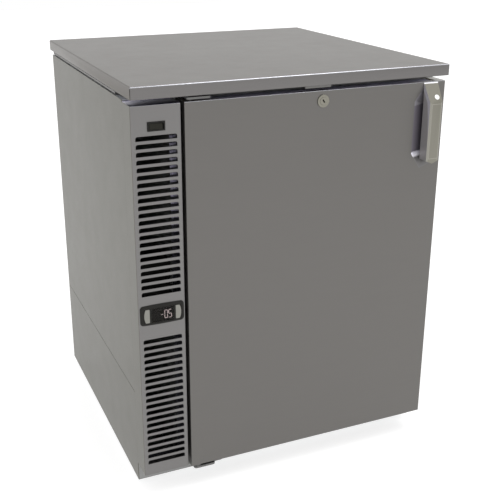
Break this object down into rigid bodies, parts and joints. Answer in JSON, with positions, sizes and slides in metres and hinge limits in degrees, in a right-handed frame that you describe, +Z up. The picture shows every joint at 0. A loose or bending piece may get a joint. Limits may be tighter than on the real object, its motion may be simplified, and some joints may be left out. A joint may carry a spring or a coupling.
{
  "type": "undercounter freezer",
  "caption": "Undercounter freezer with a flat steel worktop, a slotted machine cover beside a solid locking door, a bent handle over a pressed pocket, and wire shelves inside.",
  "frame": {"origin": "on the floor, under the centre of the whole object's bounding box", "axes": "+Z up, the door and handle face -Y, +X to the right seen from the front (the handle's side)"},
  "size_m": [0.6, 0.6266, 0.767],
  "materials": {
    "brushed_steel": "brushed stainless steel, grain along the length of each sheet",
    "galvanised_steel": "plain galvanised sheet",
    "bright_wire": "bright plated wire",
    "hinge_steel": "satin steel plate",
    "lock_metal": "bright turned metal",
    "aluminium_fins": "thin bare aluminium",
    "copper_pipe": "drawn copper",
    "black_enamel": "black enamel",
    "inner_white": "smooth white plastic sheet",
    "white_plastic": "white moulded plastic",
    "grey_plastic": "light grey moulded plastic",
    "dark_plastic": "black moulded plastic",
    "channel_plastic": "dark extruded plastic",
    "bearer_board": "dull steel strip round the worktop's bearer",
    "foam": "rigid insulating foam",
    "seal_rubber": "soft grey rubber",
    "black_rubber": "black rubber",
    "window_glass": "dark clear pane",
    "lit_figures": "lit segments"
  },
  "bodies": {
    "cabinet": {"back_panel": "galvanised_steel", "base_pan": "galvanised_steel", "cabinet_foam": "foam", "compressor": "black_enamel", "compressor_grommets": "black_rubber", "condensate_tray": "grey_plastic", "condenser_coil": "aluminium_fins", "condenser_fan_motor": "dark_plastic", "condenser_shroud": "galvanised_steel", "control_box": "grey_plastic", "controller_case": "dark_plastic", "controller_window": "window_glass", "discharge_pipe": "copper_pipe", "display_figures": "lit_figures", "drain_sleeve": "white_plastic", "evaporator_coil": "aluminium_fins", "evaporator_cover": "inner_white", "evaporator_fan_motor": "dark_plastic", "front_frame": "brushed_steel", "glide_feet": "black_rubber", "grille_cover": "brushed_steel", "hinge_bottom_bracket": "hinge_steel", "hinge_top_bracket": "hinge_steel", "inner_liner": "inner_white", "left_access_panel": "brushed_steel", "left_side_panel": "brushed_steel", "machine_bay_lining": "galvanised_steel", "mains_inlet": "dark_plastic", "panel_screws": "galvanised_steel", "rear_bay_cover": "galvanised_steel", "right_side_panel": "brushed_steel", "shelf_clips": "galvanised_steel", "shelf_pilasters": "galvanised_steel", "strike_plate": "galvanised_steel", "suction_pipe": "copper_pipe", "switch_housing": "dark_plastic", "terminal_box": "dark_plastic", "throat_breaker": "white_plastic", "top_deck": "galvanised_steel", "wire_shelf_lower": "bright_wire", "wire_shelf_middle": "bright_wire", "wire_shelf_upper": "bright_wire", "worktop": "brushed_steel", "worktop_bearer": "bearer_board"},
    "door": {"door_outer_skin": "brushed_steel", "door_insulation": "foam", "door_liner": "inner_white", "door_gasket": "seal_rubber", "door_top_trim": "channel_plastic", "door_handle": "brushed_steel", "handle_cap": "white_plastic", "door_bushes": "hinge_steel", "lock_body": "lock_metal"},
    "lock": {"lock_cylinder": "lock_metal", "lock_cam": "hinge_steel"},
    "rocker": {"switch_rocker": "dark_plastic"},
    "left_key": {"controller_key_left": "grey_plastic"},
    "right_key": {"controller_key_right": "grey_plastic"},
    "condenser_fan": {"condenser_fan_blade": "dark_plastic"},
    "evaporator_fan": {"evaporator_fan_blade": "dark_plastic"}
  },
  "joints": [
    {"name": "door_hinge", "type": "hinge", "parent": "cabinet", "child": "door", "pos_m": [-0.195, -0.27925, 0.38], "axis": [0, 0, -1], "range_deg": [0, 105]},
    {"name": "lock_turn", "type": "hinge", "parent": "door", "child": "lock", "pos_m": [0.0443, -0.27075, 0.7184], "axis": [0, 1, 0], "range_deg": [0, 90]},
    {"name": "switch_rock", "type": "hinge", "parent": "cabinet", "child": "rocker", "pos_m": [-0.25755, -0.28685, 0.7015], "axis": [0, 0, 1], "range_deg": [0, 18]},
    {"name": "left_key_rock", "type": "hinge", "parent": "cabinet", "child": "left_key", "pos_m": [-0.28605, -0.29325, 0.3723], "axis": [1, 0, 0], "range_deg": [-2, 2], "stiffness_Nm_per_rad": 0.5},
    {"name": "right_key_rock", "type": "hinge", "parent": "cabinet", "child": "right_key", "pos_m": [-0.22905, -0.29325, 0.3723], "axis": [1, 0, 0], "range_deg": [-2, 2], "stiffness_Nm_per_rad": 0.5},
    {"name": "condenser_fan_spin", "type": "hinge", "parent": "cabinet", "child": "condenser_fan", "pos_m": [-0.152, 0.19475, 0.10575], "axis": [1, 0, 0], "continuous": true},
    {"name": "evaporator_fan_spin", "type": "hinge", "parent": "cabinet", "child": "evaporator_fan", "pos_m": [0.044, 0.13805, 0.6268], "axis": [0, -1, 0], "continuous": true}
  ]
}
